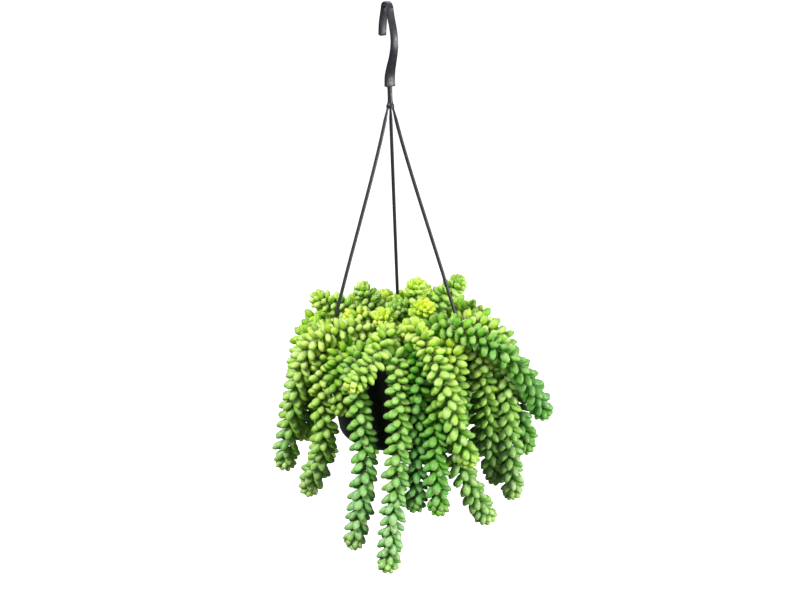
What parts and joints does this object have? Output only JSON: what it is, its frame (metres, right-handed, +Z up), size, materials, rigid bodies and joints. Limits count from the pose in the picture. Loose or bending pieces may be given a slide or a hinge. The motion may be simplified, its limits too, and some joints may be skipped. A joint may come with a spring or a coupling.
{
  "type": "trailing succulent in a hanging pot",
  "caption": "Trailing burrito sedum with plump leaves on long hanging stems, in a round black plastic pot hung by straight strands from a plastic hook.",
  "frame": {"origin": "the point under the bend of the hook where it bears on a rail", "axes": "+Z up along the plumb line that the pot hangs on, -Y toward the front of the picture, +X to its right"},
  "size_m": [0.3031, 0.2552, 0.5841],
  "materials": {
    "pot_plastic": "satin",
    "hanger_plastic": "satin",
    "potting_soil": "matte",
    "crown_leaf": "satin",
    "hanging_leaf": "satin"
  },
  "bodies": {
    "root": {"crown_back": "crown_leaf", "crown_back_left": "crown_leaf", "crown_back_right": "crown_leaf", "crown_front": "crown_leaf", "crown_front_left": "crown_leaf", "crown_front_right": "crown_leaf", "crown_left": "crown_leaf", "crown_middle": "crown_leaf", "crown_right": "crown_leaf", "crown_top": "crown_leaf", "hanger_neck": "hanger_plastic", "hook": "hanger_plastic", "pot": "pot_plastic", "soil": "potting_soil", "stem_back_1": "hanging_leaf", "stem_back_10": "hanging_leaf", "stem_back_11": "hanging_leaf", "stem_back_12": "hanging_leaf", "stem_back_13": "hanging_leaf", "stem_back_2": "hanging_leaf", "stem_back_3": "hanging_leaf", "stem_back_4": "hanging_leaf", "stem_back_5": "hanging_leaf", "stem_back_6": "hanging_leaf", "stem_back_7": "hanging_leaf", "stem_back_8": "hanging_leaf", "stem_back_9": "hanging_leaf", "stem_front_1": "hanging_leaf", "stem_front_2": "hanging_leaf", "stem_front_3": "hanging_leaf", "stem_front_4": "hanging_leaf", "stem_front_5": "hanging_leaf", "stem_front_6": "hanging_leaf", "stem_front_7": "hanging_leaf", "stem_front_8": "hanging_leaf", "stem_left_1": "hanging_leaf", "stem_left_2": "hanging_leaf", "stem_left_3": "hanging_leaf", "stem_left_4": "hanging_leaf", "stem_right_1": "hanging_leaf", "stem_right_2": "hanging_leaf", "stem_right_3": "hanging_leaf", "stem_right_4": "hanging_leaf", "stem_right_5": "hanging_leaf", "strand_back": "hanger_plastic", "strand_left": "hanger_plastic", "strand_right": "hanger_plastic"}
  },
  "joints": []
}
